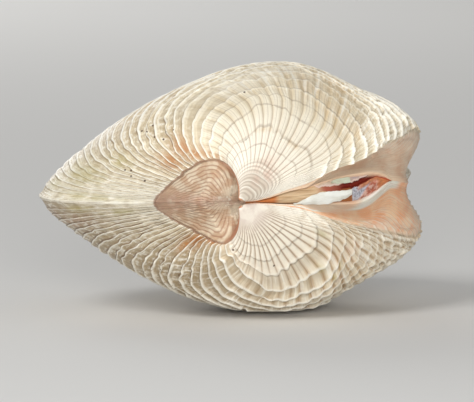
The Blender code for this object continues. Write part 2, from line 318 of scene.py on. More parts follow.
def bump_at(centre, width, value):
    """1 at the centre, falling off smoothly on both sides."""
    return np.exp(-(((value - centre) / width) ** 2))


# %% [markdown]
# Sculpture is what a venus clam is known for: thin concentric ridges, which are former margins, crossed by ribs
# that run from the beak to the margin. The ridges are wide apart near the beaks and crowded at the margin,
# where the clam grew slowly. Rows of the mesh follow each ridge, so a thin crest needs few faces.

# %% Where the ridges are
RIDGES = {
    "right": (0.038, 0.052, 0.068, 0.090, 0.133, 0.170, 0.229, 0.277, 0.320, 0.367, 0.410, 0.447, 0.478, 0.517, 0.550,
              0.590, 0.622, 0.651, 0.682, 0.715, 0.745, 0.772, 0.800, 0.828, 0.855, 0.880, 0.905, 0.930, 0.955),
    "left": (0.038, 0.052, 0.072, 0.100, 0.145, 0.188, 0.240, 0.290, 0.327, 0.362, 0.400, 0.437, 0.475, 0.515, 0.550,
             0.585, 0.617, 0.650, 0.682, 0.713, 0.743, 0.770, 0.798, 0.826, 0.853, 0.880, 0.905, 0.930, 0.955),
}
BEND_AT = (0.0, 0.12, 0.20, 0.28, 0.36, 0.45, 0.55, 0.65, 0.72, 0.80, 0.90, 1.0)
RIDGE_BEND = {
    "right": (1.0, 0.98, 0.97, 0.97, 0.98, 1.0, 0.995, 0.975, 0.98, 0.99, 1.0, 1.0),
    "left": (1.20, 1.16, 1.085, 1.035, 1.0, 0.985, 0.955, 0.93, 0.98, 1.01, 1.0, 1.0),
}
BEND_FROM = (0.13, 0.27)
# A ridge's cross-section: how far its rows lie towards the next ridge, and their height from foot to crest.
PROFILE_AT = (0.0, 0.06, 0.13, 0.22, 0.38, 0.55, 0.71, 0.84, 0.93)
PROFILE = (1.0, 0.45, -0.32, -0.34, -0.26, -0.16, -0.04, 0.30, 0.80)
ROWS_BEFORE_RIDGES = 8


def rows_of(side):
    """Growth stage, profile height, ridge number and ridge spacing of each row, from the beak to the margin."""
    crests = RIDGES[side]
    rows = [(stage, 0.0, -1 + i / ROWS_BEFORE_RIDGES, 0.0)
            for i, stage in enumerate(np.linspace(BEAK_STAGE, crests[0], ROWS_BEFORE_RIDGES, endpoint=False))]
    for k, crest in enumerate(crests):
        spacing = (crests + (1.0,))[k + 1] - crest
        rows += [(crest + at * spacing, height, k + at, spacing) for at, height in zip(PROFILE_AT, PROFILE)]
    rows.append((1.0, 0.0, len(crests), spacing))
    return np.array(rows).T


for side in RIDGES:
    print(side, "valve:", len(RIDGES[side]), "ridges,", rows_of(side).shape[1], "rows")

# %% [markdown]
# Two smooth areas have no ribs: the heart-shaped lunule in front of the beaks, and the long escutcheon behind.
# The columns of the mesh follow their borders, and in between they keep step with the ribs.

# %% Where the ribs and the smooth areas are
LUNULE_AT_MARGIN = 0.141
LUNULE_BULGE = {"right": (0.133, 0.279, 0.022, -0.868), "left": (0.137, 0.184, 0.046, 0.813)}
# The escutcheon's border at each growth stage of a ridge, and the stage to which the ridge runs out on it.
BORDER_STAGE = (0.0, 0.13, 0.20, 0.265, 0.31, 0.345, 0.39, 0.43, 0.48, 0.52, 0.56, 0.62, 0.70, 1.0)
ESCUTCHEON_BORDER = {
    "right": (0.985, 0.985, 0.982, 0.965, 0.938, 0.918, 0.900, 0.884, 0.868, 0.854, 0.838, 0.820, 0.802, 0.800),
    "left": (0.990, 0.987, 0.980, 0.960, 0.930, 0.905, 0.888, 0.872, 0.857, 0.846, 0.838, 0.826, 0.806, 0.800),
}
RIDGE_END = {
    "right": (0.0, 0.21, 0.37, 0.46, 0.49, 0.50, 0.512, 0.525, 0.545, 0.565, 0.590, 0.635, 0.705, 1.0),
    "left": (0.0, 0.16, 0.25, 0.305, 0.328, 0.355, 0.396, 0.434, 0.482, 0.521, 0.56, 0.62, 0.70, 1.0),
}
RIDGE_END_FROM = 0.80
RIDGE_END_POWER = 3
LUNULE_COLUMNS = 44
COLUMNS_PER_RIB = 10
ESCUTCHEON_COLUMNS = 34
RIB_WIDTH_AT = (0.0, 0.2, 0.45, 0.65, 0.8, 1.0)
RIB_WIDTH = (0.028, 0.042, 0.054, 0.056, 0.036, 0.022)

across = np.linspace(0, 1, 1001)
ribs_up_to = np.concatenate([[0], np.cumsum(np.diff(across) / np.interp(across[1:], RIB_WIDTH_AT, RIB_WIDTH))])
RIBS = int(round(ribs_up_to[-1]))
RIB_COLUMNS = RIBS * COLUMNS_PER_RIB
ribs_up_to *= RIBS / ribs_up_to[-1]
print(RIBS, "ribs in", RIB_COLUMNS, "columns")


def columns_of(stage, side):
    """For each row: where its columns are round the margin, and each column's place and rib number.

    A place is from -1 to 0 in the lunule, from 0 to 1 over the ribs and from 1 to 2 in the escutcheon.
    """
    bent = stage ** (1 + (RIDGE_BEND[side][0] - 1) * step_up(*BEND_FROM, stage))
    young = 1 - bent
    shape = np.array([bent * young, young**3, young**6, bent * young**8])
    first = LUNULE_AT_MARGIN + np.array(LUNULE_BULGE[side]) @ shape
    last = np.interp(stage, BORDER_STAGE, ESCUTCHEON_BORDER[side])
    rib = np.linspace(0, RIBS, RIB_COLUMNS, endpoint=False)
    ribbed = np.interp(rib, ribs_up_to, across)
    lunule = np.linspace(0, 1, LUNULE_COLUMNS, endpoint=False)
    escutcheon = np.linspace(0, 1, ESCUTCHEON_COLUMNS + 1)
    fraction = np.concatenate([
        first[:, None] * lunule,
        first[:, None] + (last - first)[:, None] * ribbed,
        last[:, None] + (1 - last)[:, None] * escutcheon,
    ], axis=1)
    rib = np.concatenate([np.zeros(LUNULE_COLUMNS), rib, np.full(ESCUTCHEON_COLUMNS + 1, RIBS)])
    return fraction, np.concatenate([lunule - 1, ribbed, 1 + escutcheon]), rib


# %% [markdown]
# How high the sculpture stands differs over the valve. Near the beaks flat-topped ribs rule, with thin grooves
# between them. Further out the ridges rule. The left valve has the taller, frillier crests.

# %% Heights of ridges and ribs, in mm
RIDGE_HEIGHT = {"right": 0.34, "left": 0.52}
RIB_HEIGHT = {"right": 0.13, "left": 0.17}
SMOOTH_RIDGE_HEIGHT = 0.07
BORDER_GROOVE = 0.07
ROUGHNESS = 0.07
SCALLOP = 0.10
WANDER = 0.30
RIPPLE = 0.26
PATCHES_AROUND = 14
RIPPLES_AROUND = 55
LUNULE_LINES = 14
LINES_FROM = 0.9


def ridge_strength(side, stage, place):
    """How strong the ridges are, from 0 to 1."""
    if side == "right":
        middle = 0.06 + 0.30 * step_up(0.27, 0.34, stage) + 0.64 * step_up(0.38, 0.50, stage)
        middle = np.maximum(middle, (1 - step_up(0.10, 0.26, place)) * step_up(0.16, 0.30, stage))
        middle = np.maximum(middle, step_up(0.76, 0.88, place) * step_up(0.16, 0.24, stage))
    else:
        middle = 0.06 + 0.94 * step_up(0.12, 0.26, stage)
        middle *= 1 - 0.45 * step_up(0.62, 0.76, place)
    return middle * (1 - 0.45 * step_up(0.88, 1.0, stage))


def rib_strength(side, stage, place):
    """How strong the ribs are, from 0 to 1."""
    if side == "right":
        strength = step_up(0.05, 0.09, stage) * (1 - 0.75 * step_up(0.32, 0.55, stage))
        strength *= 0.45 + 0.55 * step_up(0.03, 0.20, place)
        return strength * (1 - (1 - step_up(0.15, 0.35, place)) * step_up(0.25, 0.45, stage))
    strength = (0.10 + 0.90 * step_up(0.36, 0.56, place)) * (1 - 0.35 * step_up(0.5, 0.9, stage))
    strength = np.maximum(strength, 1 - step_up(0.15, 0.22, stage)) * step_up(0.035, 0.06, stage)
    return strength * (1 - 0.8 * step_up(0.86, 0.97, place) * (1 - step_up(0.2, 0.35, stage)))


def sculpture(side, rows, place, rib):
    """Height in mm over the smooth growth surface, shift along the growth, and numbers that the finish needs."""
    stage, profile, number, spacing = (values[:, None] * np.ones_like(place) for values in rows)
    place = np.ones_like(stage) * place
    rib = np.ones_like(stage) * rib
    ribbed = (place >= 0) & (place < 1)
    grown = 0.25 + 0.75 * step_up(0.03, 0.18, stage)
    phase = rib - np.floor(rib)
    from_middle = np.abs(phase - 0.5) * 2
    soft = 0.0 if side == "right" else 0.45
    rib_shape = 1 - step_up(0.62 - soft, 1.0, from_middle)
    rib_shape -= 0.35 * bump_at(0.5, 0.09, phase) * step_up(0.24, 0.40, stage) * (side == "right")
    rib_shape = np.where(ribbed, rib_shape, 0)
    ribs = rib_shape * rib_strength(side, stage, place)

    around = place * PATCHES_AROUND
    crest = ridge_strength(side, stage, place)
    chip = bump_at(CHIP[side][0], CHIP_WIDTH, place) * bump_at(CHIP[side][1], 0.03, stage)
    chipped = 1 - 0.8 * step_up(0.66, 0.82, uneven(31, around * 2.6, number * 1.0)) * step_up(0.3, 0.5, stage)
    worn = 1 - 0.75 * step_up(0.45, 0.72, stage) * (1 - step_up(0.22, 0.45, place))
    worn *= 1 - 0.45 * step_up(0.60, 0.80, stage) * step_up(0.75, 0.95, place)
    tabs = step_up(0.78, 0.88, place) * step_up(0.18, 0.26, stage)
    tabs = tabs * (1 - step_up(0.60, 0.75, stage)) * (side == "right")
    ridge = profile * RIDGE_HEIGHT[side] * crest * worn * (1 + 0.5 * tabs) * step_up(-0.002, 0.012, place)
    ridge *= (1 + 0.40 * uneven(3, around, number * 0.9)) * np.where(profile > 0, chipped * (1 - chip), 1)
    height = np.where(ribbed, ridge + ribs * RIB_HEIGHT[side], 0) * grown
    height -= BORDER_GROOVE * grown * bump_at(0.0, np.where(place < 0, 0.020, 0.003), place)
    height += ROUGHNESS * uneven(5, around * 4, number * 1.3) * step_up(0.3, 0.8, stage)

    rough = step_up(0.30, 0.55, stage) * (1 - 0.6 * bump_at(0.35, 0.2, place))
    shift = WANDER * (uneven(9, around * 0.6, number * 0.5) + 0.5 * uneven(10, around * 2.0, number * 0.9))
    shift += RIPPLE * rough * uneven(11, place * RIPPLES_AROUND, number * 1.1) * np.where(ribbed, 1, 0)
    shift += SCALLOP * (ribs - 0.5) * step_up(0.0, 0.5, profile) * step_up(0.25, 0.45, stage)
    shift *= spacing * step_up(0.06, 0.2, stage) * (1 - stage**6)

    numbers = {"stage": stage, "place": place, "rib_number": rib, "ridge_number": number, "crest": crest}
    return height, shift, numbers


def lunule_lines(smooth):
    """Number of the fine line at each point of the lunule, and how clear the lines are there, from 0 to 1.

    The lines keep to the border at one side and to the seam at the other, from the beak to the front corner.
    """
    border = smooth[:, LUNULE_COLUMNS]
    from_border = np.zeros(smooth.shape[:2])
    for column in range(LUNULE_COLUMNS):
        away = np.hypot(*(smooth[:, None, column, ::2] - border[None, :, ::2]).T)
        from_border[:, column] = away.min(axis=0)
    width = from_border + np.maximum(smooth[..., 2], 0)
    share = from_border / (width + LINES_FROM)
    waves = 0.24 * uneven(13, smooth[..., 0] * 0.9, share * 5)
    waves = waves + 0.16 * uneven(14, smooth[..., 0] * 2.2, share * 11)
    return LUNULE_LINES * share**1.2 + waves * step_up(0.35, 0.6, share), step_up(1.0, 4.0, width)


# %% [markdown]
# Stains, pits and spots are where this shell has them. Each is a place on the valve: how far round it and how far
# grown. A stain fades outwards, so it is stored as a number from 0 to 1 on the mesh, and the finish colours it.

# %% Stains and pits
STAINS = {
    "rust": {
        "right": [(0.06, 0.44, 0.05, 0.05), (0.03, 0.40, 0.03, 0.08), (0.04, 0.55, 0.03, 0.06),
                  (0.02, 0.30, 0.02, 0.08)],
        "left": [(0.02, 0.44, 0.035, 0.07), (0.0, 0.33, 0.02, 0.05), (0.05, 0.47, 0.03, 0.03)],
    },
    "tan": {
        "right": [(0.60, 0.36, 0.10, 0.06), (0.72, 0.33, 0.10, 0.06), (0.85, 0.36, 0.05, 0.05),
                  (0.30, 0.62, 0.1, 0.1), (0.38, 0.174, 0.09, 0.006), (0.60, 0.170, 0.05, 0.007),
                  (0.70, 0.45, 0.08, 0.08)],
        "left": [(0.74, 0.29, 0.07, 0.04), (0.66, 0.34, 0.05, 0.04), (0.85, 0.33, 0.06, 0.05),
                 (0.55, 0.26, 0.05, 0.03), (0.90, 0.45, 0.06, 0.10), (0.80, 0.45, 0.08, 0.10),
                 (0.93, 0.70, 0.08, 0.15), (0.66, 0.22, 0.05, 0.03)],
    },
    "olive": {
        "right": [(0.20, 0.93, 0.03, 0.03), (0.15, 0.85, 0.06, 0.06), (0.10, 0.96, 0.06, 0.03),
                  (0.12, 0.72, 0.03, 0.04)],
        "left": [(0.68, 0.34, 0.012, 0.012), (0.73, 0.31, 0.012, 0.012), (0.78, 0.213, 0.02, 0.02),
                 (0.06, 0.90, 0.03, 0.03), (0.12, 0.95, 0.03, 0.03), (0.62, 0.27, 0.02, 0.02)],
    },
    "rose": {
        "right": [(0.52, 0.085, 0.2, 0.04)],
        "left": [(0.72, 0.28, 0.04, 0.03), (0.80, 0.32, 0.03, 0.03), (0.86, 0.34, 0.03, 0.03),
                 (0.16, 0.88, 0.05, 0.05), (0.21, 0.92, 0.04, 0.04), (0.70, 0.36, 0.03, 0.02)],
    },
}
PITS = {
    "right": [(0.17, 0.579), (0.17, 0.536), (0.13, 0.536), (0.13, 0.483), (0.13, 0.449), (0.09, 0.744),
              (0.07, 0.763), (0.04, 0.763), (0.32, 0.315), (0.155, 0.56), (0.11, 0.50), (0.08, 0.73)],
    "left": [(0.39, 0.165), (0.07, 0.165)],
}
PIT_RADIUS = 0.20
CHIP = {"right": (0.52, 0.41), "left": (0.33, 0.285)}
CHIP_WIDTH = 0.022


def stain(side, name, place, stage):
    """How strong this stain is, from 0 to 1."""
    strength = np.zeros_like(place)
    for at_place, at_stage, wide, long in STAINS[name][side]:
        spread = ((place - at_place) / wide) ** 2 + ((stage - at_stage) / long) ** 2
        strength = np.maximum(strength, np.exp(-spread))
    return strength


def pit_centres(side, points, place, stage):
    """Where the pits are on the valve, in mm."""
    flat = points.reshape(-1, 3)
    return [flat[np.argmin(((place - p) / 0.5) ** 2 + (stage - s) ** 2)] for p, s in PITS[side]]


# %% [markdown]
# The hollow where the clam lived can't be seen while the shell is closed, but it shows through the slit and
# gives the valve its real thickness. It is made of the same kind of rings, from a smaller margin.

# %% Rings of the hollow
HINGE_PLATE_POINT = np.array([0.0, 4.0, 0.0])
HOLLOW_CENTRE = np.array([-6.0, 25.0, 0.0])
HOLLOW_SCALE = 0.92
HINGE_PLATE_WIDTH = 0.07
HOLLOW_STAGES = (1.0, 0.95, 0.90, 0.84, 0.78, 0.72, 0.66, 0.60, 0.54, 0.48, 0.42)


def hollow_rows(fraction):
    """The hollow's rows, from the margin inwards, at the columns of the margin's row."""
    edge = HOLLOW_CENTRE + HOLLOW_SCALE * (dented(margin_point(fraction)) - HOLLOW_CENTRE)
    hinge = HOLLOW_CENTRE + HOLLOW_SCALE * (dented(margin_point(np.zeros(1))) - HOLLOW_CENTRE)
    pull = np.exp(-((np.minimum(fraction, 1 - fraction) / HINGE_PLATE_WIDTH) ** 2))[:, None]
    edge = edge + pull * (HINGE_PLATE_POINT - hinge)
    rows = [HINGE_PLATE_POINT + coiled(edge - HINGE_PLATE_POINT, np.full(len(fraction), stage))
            for stage in HOLLOW_STAGES]
    rows.append(np.repeat(rows[-1].mean(axis=0, keepdims=True), len(fraction), axis=0))
    return slanted(np.array(rows))


# %% [markdown]
# The valve starts as a flat grid primitive, a sheet with as many rows and columns as the shell needs.
# Its points are then put on the growth surface, its first row gathered into the beak and its last row into the
# hollow's middle, and the doubles there are merged, which closes the sheet into a skin with no holes.

# %% Make the two valves
REST_FADE = 1.2
DOUBLES = 0.002


def only(piece):
    """Select this one piece and make it the active one."""
    bpy.ops.object.select_all(action="DESELECT")
    piece.select_set(True)
    bpy.context.view_layer.objects.active = piece


def sheet_of_points(name, points):
    """A grid primitive whose points are then put where the rows and columns say, in mm."""
    rows, columns = points.shape[:2]
    bpy.ops.object.select_all(action="DESELECT")
    bpy.ops.mesh.primitive_grid_add(x_subdivisions=columns - 1, y_subdivisions=rows - 1, size=1)
    piece = bpy.context.object
    piece.name = name
    piece.data.vertices.foreach_set("co", (points * MM).reshape(-1).astype(np.float32))
    return piece


def store(piece, name, values):
    """Numbers of the grid's points, stored on the face corners so that a merged seam keeps both its sides."""
    corner_points = np.zeros(len(piece.data.loops), int)
    piece.data.loops.foreach_get("vertex_index", corner_points)
    attribute = piece.data.attributes.new(name, "FLOAT", "CORNER")
    attribute.data.foreach_set("value", values.reshape(-1)[corner_points].astype(np.float32))


def close_skin(piece):
    """Merge the doubles, turn all faces outwards and shade the piece smooth."""
    only(piece)
    bpy.ops.object.mode_set(mode="EDIT")
    bpy.ops.mesh.select_all(action="SELECT")
    bpy.ops.mesh.remove_doubles(threshold=DOUBLES * MM)
    bpy.ops.mesh.normals_make_consistent(inside=False)
    bpy.ops.object.mode_set(mode="OBJECT")
    bpy.ops.object.shade_smooth()
    print(piece.name, "has", len(piece.data.polygons), "faces")


def valve(side):
    """One valve as a closed skin, with the numbers for its finish stored on it."""
    rows = rows_of(side)
    fraction, place, rib = columns_of(rows[0], side)
    height, shift, numbers = sculpture(side, rows, place, rib)
    bend = np.interp(np.clip(numbers["place"], 0, 1), BEND_AT, RIDGE_BEND[side])
    bend = 1 + (bend - 1) * step_up(*BEND_FROM, numbers["stage"])
    stage = np.clip(numbers["stage"] + shift, BEAK_STAGE, 1) ** bend
    end = np.interp(stage, BORDER_STAGE, RIDGE_END[side])
    run_out = np.clip((numbers["place"] - RIDGE_END_FROM) / (1 - RIDGE_END_FROM), 0, 1) ** RIDGE_END_POWER
    stage = stage + (end - stage) * run_out
    smooth = growth_surface(fraction, stage)
    normal = np.cross(np.gradient(smooth, axis=1), np.gradient(smooth, axis=0))
    normal /= np.maximum(np.linalg.norm(normal, axis=-1, keepdims=True), 1e-9)
    line, clear = lunule_lines(smooth)
    numbers["grown"] = stage
    numbers["off_plane"] = np.maximum(smooth[..., 2], 0)
    in_lunule = numbers["place"] < 0
    numbers["ridge_number"] = np.where(in_lunule, line, numbers["ridge_number"])
    height += np.where(in_lunule, SMOOTH_RIDGE_HEIGHT * np.sin(2 * math.pi * line) * clear, 0)
    numbers["clear"] = clear
    for name in STAINS:
        numbers[name] = stain(side, name, numbers["place"], stage)
    height = height * np.clip(placed(seated(smooth, side))[..., 2] / REST_FADE, 0, 1)
    height[:, [0, -1]] = 0
    outer = smooth + normal * height[..., None]
    tip = np.repeat(outer[:1].mean(axis=1, keepdims=True), outer.shape[1], axis=1)
    inner = hollow_rows(fraction[-1])
    piece = sheet_of_points(side + "_valve_shell", placed(seated(np.concatenate([tip, outer, inner]), side)))
    numbers["inside"] = np.zeros_like(stage)
    for name, values in numbers.items():
        below = np.repeat(values[-1:] if name != "inside" else values[-1:] + 1, len(inner), axis=0)
        store(piece, name, np.concatenate([values[:1], values, below]))
    close_skin(piece)
    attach(piece, "root")
    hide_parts(side + "_valve")
    return piece, pit_centres(side, placed(seated(outer, side)), numbers["place"], stage)


valves = {side: valve(side) for side in ("right", "left")}

# %% [markdown]
# A finish is a material built from nodes. This small helper adds nodes one after the other, so that the recipe
# of each finish reads as a list: base colour, then a tint for each mask, then a fine bump.

# %% Helper for finishes
def srgb(*colour):
    """A colour as a screen shows it, each part from 0 to 255, as the linear colour that the shader needs."""
    parts = [c / 255 for c in colour]
    return (*(c / 12.92 if c <= 0.04045 else ((c + 0.055) / 1.055) ** 2.4 for c in parts), 1.0)


class Finish:
    """A material whose nodes are added one after the other."""

    def __init__(self, name, roughness):
        self.material = bpy.data.materials.new(name)
        self.material.use_nodes = True
        self.nodes = self.material.node_tree.nodes
        self.links = self.material.node_tree.links
        self.shader = self.nodes["Principled BSDF"]
        self.shader.inputs["Roughness"].default_value = roughness

    def put(self, value, socket):
        """Link an output, or set a plain value."""
        if isinstance(value, bpy.types.NodeSocket):
            self.links.new(value, socket)
        else:
            socket.default_value = value

    def stored(self, name):
        """A number stored on the mesh."""
        node = self.nodes.new("ShaderNodeAttribute")
        node.attribute_name = name
        return node.outputs["Fac"]

    def math(self, operation, first, second=0.0):
        """One sum, product or other small calculation."""
        node = self.nodes.new("ShaderNodeMath")
        node.operation = operation
        self.put(first, node.inputs[0])
        self.put(second, node.inputs[1])
        return node.outputs[0]

    def times(self, *values):
        """The product of several values."""
        result = values[0]
        for value in values[1:]:
            result = self.math("MULTIPLY", result, value)
        return result

    def ramp(self, value, low, high, to_low=0.0, to_high=1.0):
        """A smooth step of the value from low to high."""
        node = self.nodes.new("ShaderNodeMapRange")
        node.interpolation_type = "SMOOTHSTEP"
        for socket, number in zip(node.inputs, (value, low, high, to_low, to_high)):
            self.put(number, socket)
        return node.outputs[0]

    def band(self, value, start, full, until, end):
        """1 between full and until, fading to 0 at start and end."""
        return self.times(self.ramp(value, start, full), self.ramp(value, until, end, 1.0, 0.0))

    def mix(self, amount, base, top):
        """The base colour, covered by the top colour where the amount says."""
        node = self.nodes.new("ShaderNodeMix")
        node.data_type = "RGBA"
        for name, value in (("Factor", amount), ("A", base), ("B", top)):
            socket = next(s for s in node.inputs if s.enabled and s.name == name)
            self.put(value, socket)
        return next(s for s in node.outputs if s.enabled)

    def cover(self, base, top, *amounts):
        """The base colour, covered by the top colour as much as the product of the amounts says."""
        return self.mix(self.times(*amounts), base, top)

    def spots(self, size, detail=4.0, stretch=(1, 1, 1)):
        """Cloudy noise with spots of this size in mm, in the piece's own place."""
        mapping = self.nodes.new("ShaderNodeMapping")
        mapping.inputs["Scale"].default_value = [1 / (size * MM * s) for s in stretch]
        self.links.new(self.nodes.new("ShaderNodeTexCoord").outputs["Object"], mapping.inputs["Vector"])
        node = self.nodes.new("ShaderNodeTexNoise")
        node.inputs["Scale"].default_value = 1.0
        node.inputs["Detail"].default_value = detail
        self.links.new(mapping.outputs[0], node.inputs["Vector"])
        return node.outputs["Fac"]

    def streaks(self, along, across, detail=3.0):
        """Noise whose spots are drawn out along the ridges, from two numbers stored on the mesh."""
        place = self.nodes.new("ShaderNodeCombineXYZ")
        self.put(along, place.inputs[0])
        self.put(across, place.inputs[1])
        node = self.nodes.new("ShaderNodeTexNoise")
        node.inputs["Scale"].default_value = 1.0
        node.inputs["Detail"].default_value = detail
        self.links.new(place.outputs[0], node.inputs["Vector"])
        return node.outputs["Fac"]

    def near(self, centre, radius):
        """1 within the radius of a centre, both in mm, and 0 a little further out."""
        node = self.nodes.new("ShaderNodeVectorMath")
        node.operation = "DISTANCE"
        self.links.new(self.nodes.new("ShaderNodeTexCoord").outputs["Object"], node.inputs[0])
        node.inputs[1].default_value = [c * MM for c in centre]
        return self.ramp(node.outputs["Value"], 0.6 * radius * MM, radius * MM, 1.0, 0.0)

    def colour(self, value):
        """Make this the finish's colour."""
        self.put(value, self.shader.inputs["Base Color"])

    def bump(self, height, depth):
        """Fine relief, too small for the mesh, of this depth in mm."""
        node = self.nodes.new("ShaderNodeBump")
        node.inputs["Distance"].default_value = depth * MM
        self.links.new(height, node.inputs["Height"])
        self.links.new(node.outputs[0], self.shader.inputs["Normal"])


# %% [markdown]
# Shell is a hard, faintly glossy lime. Its colour follows the sculpture: crests are ivory with a painted highlight,
# the ground between them is beige, and grooves hold brown dirt, with painted shade on the rib flanks and in the gaps
# between ridges. The ridge and rib numbers stored on the mesh run on smoothly between its points, so the lines of the
# finish can be finer than the mesh. A mask is a value from 0 to 1 that says where a colour goes, and the masks that
# several colours share are made first.

# %% Shared masks of the valves
VALVE_GLOSS = 0.40
IVORY = srgb(255, 251, 238)
DIRT = srgb(150, 126, 98)


def valve_masks(f):
    """The numbers stored on the mesh, and the masks that several colours share."""
    m = SimpleNamespace(place=f.stored("place"), stage=f.stored("stage"), strong=f.stored("crest"))
    m.ridge_number = f.stored("ridge_number")
    m.rib_number = f.stored("rib_number")
    m.ridge = f.math("FRACT", f.math("ADD", m.ridge_number, 10.0))
    m.from_middle = f.math("ABSOLUTE", f.math("SUBTRACT", f.math("FRACT", m.rib_number), 0.5))
    m.patchy = f.spots(1.6)
    m.fine = f.spots(0.5)
    m.on_ribs = f.band(m.place, -0.01, 0.005, 0.99, 1.0)
    m.front = f.times(f.ramp(m.place, 0.45, 0.20), f.ramp(m.stage, 0.22, 0.36))
    tabs = f.times(f.ramp(m.place, 0.78, 0.90), f.band(m.stage, 0.18, 0.25, 0.55, 0.70))
    crest_from = f.math("SUBTRACT", 0.86, f.math("ADD", f.times(m.front, 0.08), f.times(tabs, 0.16)))
    m.crest = f.math("MAXIMUM", f.ramp(m.ridge, crest_from, 0.96), f.ramp(m.ridge, 0.02, 0.06, 1.0, 0.0))
    m.foot = f.band(m.ridge, 0.04, 0.08, 0.12, 0.22)
    lines = f.math("FRACT", f.math("ADD", f.times(m.ridge_number, 4.0), f.times(m.patchy, 1.5)))
    m.lines = f.times(f.ramp(lines, 0.55, 0.9), f.ramp(m.stage, 0.25, 0.5))
    return m


# %% [markdown]
# The ground is beige and cloudy. It is paler where the shell is young, near the seam and at the front tip; near the
# seam on the down-facing left valve this paleness is also painted light. The gaps between the front ridges are
# darkened with painted shade, and the left valve's underside is darker with painted shade.

# %% Ground of the valves
GROUND = {
    "right": (srgb(228, 214, 184), srgb(240, 229, 204)),
    "left": (srgb(210, 192, 162), srgb(226, 208, 180)),
}
YOUNG_SHELL = srgb(252, 245, 232)
SEAM_CREAM_AND_LIGHT = srgb(250, 238, 210)
TIP_CREAM = srgb(255, 248, 228)
GAP_SHADE = srgb(178, 156, 120)
BEAK_GREY = srgb(206, 194, 176)
UNDERSIDE_SHADE = srgb(168, 146, 110)
APEX_ROSE = srgb(222, 207, 193)
TAN_STAIN = srgb(214, 184, 136)
ROSE_STAIN = srgb(206, 160, 140)
SEAM_CREAM_AND_LIGHT_STRENGTH = {"right": 0.85, "left": 0.95}
GAP_SHADE_STRENGTH = {"right": 0.52, "left": 0.60}


def ground_colour(f, m, side):
    """The lime between the ridges, from the beak to the margin."""
    colour = f.mix(f.ramp(f.spots(4.0), 0.40, 0.62), *GROUND[side])
    colour = f.cover(colour, YOUNG_SHELL, f.ramp(m.stage, 0.28, 0.12), 0.8)
    # Cream near the seam at the front; on the left valve, whose front faces down, it is also painted light.
    near_seam = f.times(f.ramp(m.place, 0.26, 0.06), f.ramp(m.stage, 0.45, 0.65))
    colour = f.cover(colour, SEAM_CREAM_AND_LIGHT, near_seam, SEAM_CREAM_AND_LIGHT_STRENGTH[side])
    # Painted shade in the gaps between the front ridges, darker on the left valve.
    between = f.times(m.front, f.band(m.ridge, 0.05, 0.09, 0.45, 0.72))
    colour = f.cover(colour, GAP_SHADE, between, f.ramp(m.stage, 0.95, 0.75), GAP_SHADE_STRENGTH[side])
    colour = f.cover(colour, TIP_CREAM, f.ramp(m.stage, 0.70, 0.90), f.ramp(m.place, 0.25, 0.05), 0.7)
    if side == "right":
        colour = f.cover(colour, BEAK_GREY, f.ramp(m.stage, 0.085, 0.06), 0.80)
    else:
        # Painted shade: the left valve's underside, which faces away from the light, is darkened.
        under = f.times(f.ramp(m.stage, 0.25, 0.36), f.band(m.place, 0.03, 0.16, 0.60, 0.80))
        colour = f.cover(colour, UNDERSIDE_SHADE, under, 0.60)
        apex = f.times(f.ramp(m.stage, 0.13, 0.07), f.ramp(m.patchy, 0.60, 0.40, 0.35, 1.0))
        colour = f.cover(colour, APEX_ROSE, apex, 0.9)
    colour = f.cover(colour, TAN_STAIN, f.stored("tan"), f.ramp(m.patchy, 0.25, 0.6), 0.75)
    return f.cover(colour, ROSE_STAIN, f.stored("rose"), f.ramp(m.patchy, 0.3, 0.6), 0.6)


# %% [markdown]
# Ribs have cream tops and brown grooves, and painted shade darkens their rounded flanks. They fade where the ridges
# take over. As the shell grew, each rib of the right valve split in two and then in more, and between the later ridges
# both valves have fine riblets.

# %% Ribs of the valves
RIB_CREAM = srgb(250, 242, 222)
RIB_FLANK_SHADE = srgb(178, 146, 112)
GROOVE_BROWN = srgb(160, 134, 106)
RIDGE_SHADE = srgb(182, 164, 136)
RIBLET_BROWN = srgb(168, 144, 108)
GROOVE_WIDTH = {"right": (0.004, 0.017), "left": (0.005, 0.020)}
RIB_FLANK_SHADE_STRENGTH = {"right": 0.10, "left": 0.60}
GROOVE_STRENGTH = {"right": 0.52, "left": 0.62}


def ribs_show(f, m, side):
    """How clearly the ribs show, from 0 to 1."""
    if side == "right":
        shown = f.times(m.on_ribs, f.ramp(m.stage, 0.06, 0.11), f.ramp(m.stage, 0.22, 0.42, 1.0, 0.30))
        return f.times(shown, f.math("MAXIMUM", f.ramp(m.place, 0.10, 0.28), f.ramp(m.stage, 0.40, 0.28)))
    shown = f.math("MAXIMUM", f.ramp(m.place, 0.30, 0.50), f.ramp(m.stage, 0.20, 0.15))
    shown = f.math("MAXIMUM", shown, f.times(f.ramp(m.place, 0.08, 0.30), f.ramp(m.stage, 0.42, 0.28), 0.6))
    shown = f.times(m.on_ribs, shown, f.ramp(m.place, 0.02, 0.10, 0.35, 1.0))
    return f.times(shown, f.ramp(m.stage, 0.04, 0.09), f.ramp(m.stage, 0.5, 0.9, 1.0, 0.6))


